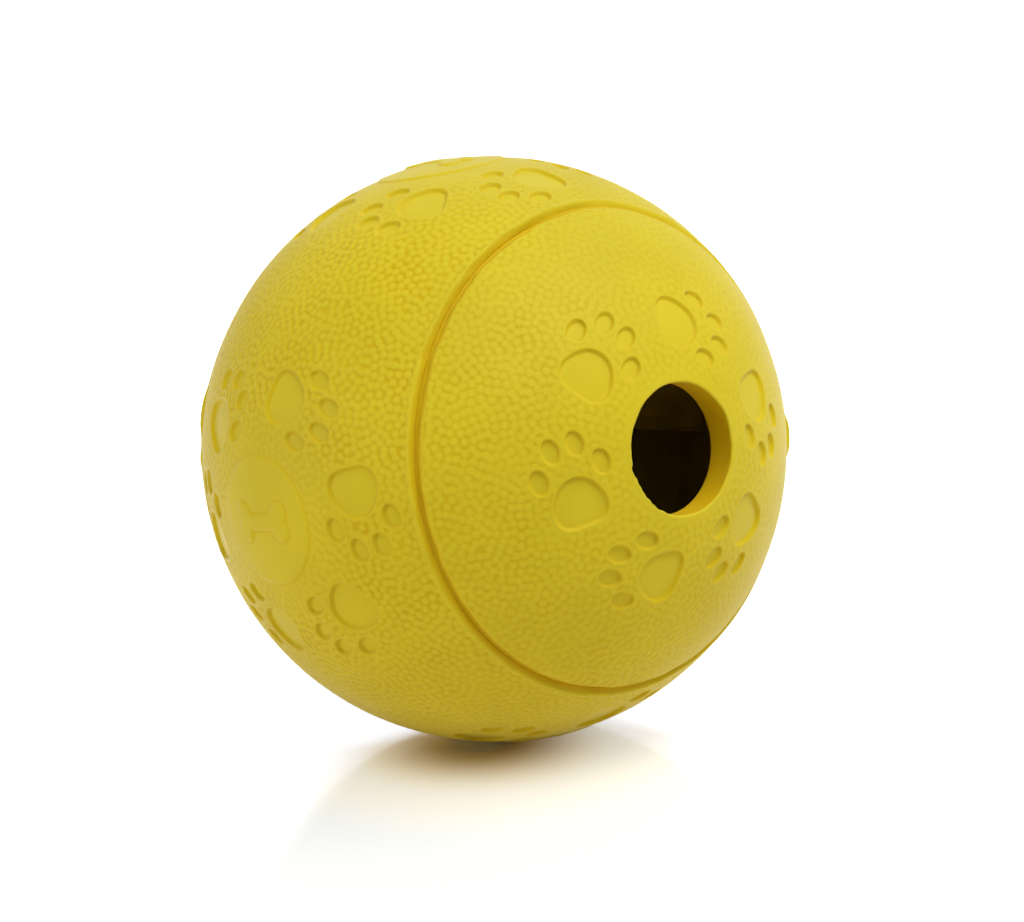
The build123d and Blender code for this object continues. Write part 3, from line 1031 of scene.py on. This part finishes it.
def dull_rubber(name, colour):
    """Unpolished rubber with cloudy drifts and a dry bump."""
    material, graph = new_finish(name)
    place = graph.node("ShaderNodeTexCoord", out="Object")
    drift = graph.noise(place, *WALL_DRIFT)
    grit = graph.noise(place, *WALL_GRIT)
    tone = graph.mix(graph.fade(drift, *DRIFT_FADE), colour, [WALL_DARK * part for part in colour])
    rough = WALL_ROUGH + WALL_DRIFT_ROUGH * drift
    dry = graph.node("ShaderNodeBump", {}, {**WALL_BUMP, "Height": grit})
    sockets = {"Base Color": tone, "Roughness": rough, "Normal": dry}
    surface = graph.node("ShaderNodeBsdfPrincipled", {}, sockets)
    graph.node("ShaderNodeOutputMaterial", {}, {"Surface": surface})
    return material


# Painted light: paler and brighter than the skin, for the light the plate gets through the hole.
WALL_LIT_YELLOW = (1.0, 0.8, 0.35)
inner_wall = frame["nodes"]["inner_wall"]
inner_wall.data.materials.clear()
inner_wall.data.materials.append(dull_rubber("inner_rubber", WALL_LIT_YELLOW))
print("finish:", inner_wall.data.materials[0].name)

# %% [markdown]
# ## The floor
#
# A glossy sheet on which the ball throws a soft shadow and a faint reflection. In a catalogue picture such a
# sheet is overexposed, so it is plain white far from the ball and cream close to it, where the light has come
# off the yellow rubber. Brighter lamps would burn out the ball too. So the sheet itself is painted cream all
# over, as painted light off the yellow rubber, and only what the camera sees of it, directly or in a
# reflection, is lifted by a glow.

# %% Lay the floor
FLOOR_SIZE = 6.0
floor_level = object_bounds()[0][2]
floor_mesh = bpy.data.meshes.new("floor")
half = FLOOR_SIZE / 2
corners = [(x, y, floor_level) for x, y in ((-half, -half), (half, -half), (half, half), (-half, half))]
floor_mesh.from_pydata(corners, [], [(0, 1, 2, 3)])
floor = bpy.data.objects.new("floor", floor_mesh)
floor.rotation_euler.z = VIEW_AZIMUTH
bpy.context.scene.collection.objects.link(floor)
print(f"floor at {floor_level / MM:.2f} mm")

# %% [markdown]
# The glow grows with the distance from the darkest place, close to where the ball touches the sheet, so its
# pattern paints the shadow round the ball, over the sheet's own shadow. It starts with red and ends with blue,
# which paints the edge of the shadow warm. To the sides and behind the ball it goes over to a stronger glow,
# which paints the shadow narrower there.

# %% Finish the floor
FLOOR_BOUNCE_CREAM = (0.86, 0.79, 0.6)
FLOOR_ROUGH = 0.1
SHADE_MIDDLE = (0.1, 0.15, 0.0)  # how far the darkest place lies to the left and to the front, in ball radii
SHADE_START = {"Red": (0.05, 0.44), "Green": (0.08, 0.48), "Blue": (0.11, 0.54)}  # distances, in ball radii
NEAR_LIFT = (0.44, 0.46, 0.5)
FAR_LIFT = (0.2, 0.31, 0.51)
LIFT_FADE = (0.48, 1.0)
SIDE_LIFT = (0.66, 0.7, 0.78)
SIDE_MIDDLE = 0.14  # how far the middle between the two sides lies to the right of the darkest place
SIDE_SLANT = 0.3  # how much sooner the sides start further back
SIDE_FADE = (0.44, 0.69)
CLEAR_FADE = (1.3, 2.2)
CLEAR_MORE = 0.5
material, graph = new_finish("white_sheet")
place = graph.node("ShaderNodeTexCoord", out="Object")
per_radius = 1 / (BALL_RADIUS * MM)
sockets = {0: place, 1: (per_radius, per_radius, 0), 2: SHADE_MIDDLE}
spot = graph.node("ShaderNodeVectorMath", {"operation": "MULTIPLY_ADD"}, sockets)
reach = graph.node("ShaderNodeVectorMath", {"operation": "LENGTH"}, {0: spot}, out="Value")
right, back = (graph.node("ShaderNodeSeparateXYZ", {}, {0: spot}, out=axis) for axis in "XY")
aside = graph.node("ShaderNodeMath", {"operation": "ABSOLUTE"}, {0: right - SIDE_MIDDLE})
behind = graph.node("ShaderNodeMath", {"operation": "MAXIMUM"}, {0: back, 1: 0.0})
open_side = graph.fade(aside + SIDE_SLANT * back + behind, *SIDE_FADE)
# Painted shadow: the glow's colour grows from the contact, red first and blue last.
shares = {name: graph.fade(reach, *ends) for name, ends in SHADE_START.items()}
shade = graph.node("ShaderNodeCombineColor", {}, shares)
level = graph.mix(graph.fade(reach, *LIFT_FADE), NEAR_LIFT, FAR_LIFT)
lifted = graph.node("ShaderNodeVectorMath", {"operation": "MULTIPLY"}, {0: shade, 1: level})
lifted = graph.mix(open_side, lifted, SIDE_LIFT)
strength = graph.seen_ray() * (1 + CLEAR_MORE * graph.fade(reach, *CLEAR_FADE))
sockets = {"Base Color": (*FLOOR_BOUNCE_CREAM, 1), "Roughness": FLOOR_ROUGH}
sheet = graph.node("ShaderNodeBsdfPrincipled", {}, sockets)
lift = graph.node("ShaderNodeEmission", {}, {"Color": lifted, "Strength": strength})
seen = graph.node("ShaderNodeAddShader", {}, {0: sheet, 1: lift})
graph.node("ShaderNodeOutputMaterial", {}, {"Surface": seen})
floor_mesh.materials.append(material)
print("finish:", material.name, len(material.node_tree.nodes), "nodes")

# %% [markdown]
# ## The light
#
# A white room with very large soft lights, as for a catalogue picture: a strong one at the left, level with
# the ball and a little warm, two strong ones above and in front, and weaker ones at the right and behind.
# Lamps of that size leave hard marks in a glossy finish, so the lights are soft patches on the world around
# the ball, each with a direction seen from the camera and a strength. The camera itself sees plain white.

# %% Light the room
SOFT_LIGHTS = {  # right, up and towards the camera, and the strength
    "left": (-0.97, 0.0, 0.26, 6.7),
    "right": (0.79, 0.55, 0.26, 1.7),
    "high_right": (0.5, 0.87, 0.03, 3.2),
    "high": (0.35, 0.85, 0.40, 6.0),
    "high_front": (0.1, 0.68, 0.72, 6.5),
    "rear": (0.1, 0.77, -0.63, 2.0),
}
SOFT_LIGHT_FOCUS = 30.0
WHITE = (1.0, 1.0, 1.0)
WARM_WHITE = (1.0, 0.94, 0.91)  # of the light from the left
WARM_FADE = (0.2, 0.9)
world = bpy.data.worlds.new("white_room")
bpy.context.scene.world = world
world.use_nodes = True
graph = Graph(world.node_tree)
heading = graph.node("ShaderNodeTexCoord", out="Generated")


def along(direction):
    """How far each place of the room lies in a direction: 1 straight ahead and 0 beside it."""
    sockets = {0: heading, 1: direction}
    return graph.node("ShaderNodeVectorMath", {"operation": "DOT_PRODUCT"}, sockets, out="Value")


def soft_light(right, up, forward, strength):
    """Brightness of the room from one soft patch of light."""
    facing = along((view_right * right + view_up * up + to_camera * forward).normalized())
    near = graph.node("ShaderNodeMath", {"operation": "MAXIMUM"}, {0: facing, 1: 0.0})
    return strength * graph.node("ShaderNodeMath", {"operation": "POWER"}, {0: near, 1: SOFT_LIGHT_FOCUS})


glow = sum(soft_light(*light) for light in SOFT_LIGHTS.values())
tint = graph.mix(graph.fade(along(-view_right), *WARM_FADE), WHITE, WARM_WHITE)
room = graph.node("ShaderNodeBackground", {}, {"Color": tint, "Strength": glow})
backdrop = graph.node("ShaderNodeBackground", {}, {"Color": (*WHITE, 1), "Strength": 1.0})
shown = graph.node("ShaderNodeMixShader", {}, {0: graph.seen_ray(), 1: room, 2: backdrop})
graph.node("ShaderNodeOutputWorld", {}, {"Surface": shown})
print(len(SOFT_LIGHTS), "soft lights")
bpy.context.scene.view_settings.view_transform = "Standard"
